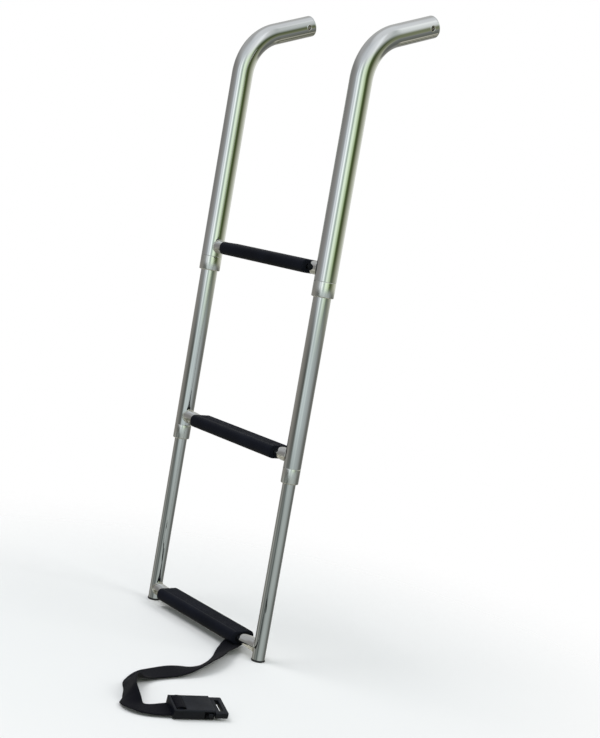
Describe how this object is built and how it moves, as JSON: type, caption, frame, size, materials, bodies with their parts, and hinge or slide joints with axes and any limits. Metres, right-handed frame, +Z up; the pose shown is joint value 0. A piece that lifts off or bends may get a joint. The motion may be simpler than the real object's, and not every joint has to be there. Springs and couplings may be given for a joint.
{
  "type": "telescoping boarding ladder",
  "caption": "Telescoping stainless boarding ladder with bent-back arms, nested rails, collars, non-slip tread covers and a webbing strap with a side-release buckle.",
  "frame": {"origin": "middle of the hinge bore's axis, halfway between the two arm tips", "axes": "+X along the hinge bore and the rungs, +Z up along the rails, +Y the way the arms point"},
  "size_m": [0.4803, 0.4168, 0.9415],
  "materials": {
    "stainless": "mirror polished",
    "nylon": "natural, smooth",
    "tread_rubber": "matte, finely ribbed",
    "foot_rubber": "matte",
    "webbing": "woven, matte",
    "buckle_plastic": "fine moulded texture"
  },
  "bodies": {
    "upper_section": {"upper_rail_left": "stainless", "upper_rail_right": "stainless", "tip_cap_left": "stainless", "tip_cap_right": "stainless", "hinge_bush_left": "stainless", "hinge_bush_right": "stainless", "upper_collar_left": "stainless", "upper_collar_right": "stainless", "upper_guide_bush_left": "nylon", "upper_guide_bush_right": "nylon", "upper_collar_rivets": "stainless", "upper_rung_tube": "stainless", "upper_rung_welds": "stainless", "upper_tread_cover": "tread_rubber"},
    "mid_section": {"mid_rail_left": "stainless", "mid_rail_right": "stainless", "mid_slide_stop_left": "nylon", "mid_slide_stop_right": "nylon", "mid_collar_left": "stainless", "mid_collar_right": "stainless", "mid_guide_bush_left": "nylon", "mid_guide_bush_right": "nylon", "mid_collar_rivets": "stainless", "mid_rung_tube": "stainless", "mid_rung_welds": "stainless", "mid_tread_cover": "tread_rubber"},
    "lower_section": {"lower_rail_left": "stainless", "lower_rail_right": "stainless", "lower_slide_stop_left": "nylon", "lower_slide_stop_right": "nylon", "foot_cap_left": "foot_rubber", "foot_cap_right": "foot_rubber", "lower_rung_tube": "stainless", "lower_rung_welds": "stainless", "lower_tread_cover": "tread_rubber", "strap_loop": "webbing", "strap_webbing": "webbing", "buckle_socket": "buckle_plastic", "buckle_plug": "buckle_plastic"},
    "prong_left": {"buckle_prong_left": "buckle_plastic"},
    "prong_right": {"buckle_prong_right": "buckle_plastic"}
  },
  "joints": [
    {"name": "mid_slide", "type": "slide", "parent": "upper_section", "child": "mid_section", "axis": [0, 0, 1], "range_m": [0, 0.212]},
    {"name": "lower_slide", "type": "slide", "parent": "mid_section", "child": "lower_section", "axis": [0, 0, 1], "range_m": [0, 0.225]},
    {"name": "prong_left_squeeze", "type": "hinge", "parent": "lower_section", "child": "prong_left", "pos_m": [0.28492, -0.31435, -0.91031], "axis": [-0.1667, 0.0486, -0.9848], "range_deg": [0, 9], "stiffness_Nm_per_rad": 0.05},
    {"name": "prong_right_squeeze", "type": "hinge", "parent": "lower_section", "child": "prong_right", "pos_m": [0.30289, -0.31959, -0.91361], "axis": [0.1667, -0.0486, 0.9848], "range_deg": [0, 9], "stiffness_Nm_per_rad": 0.05}
  ],
  "couplings": [
    {"joint": "prong_right_squeeze", "follows": "prong_left_squeeze", "ratio": 1}
  ]
}
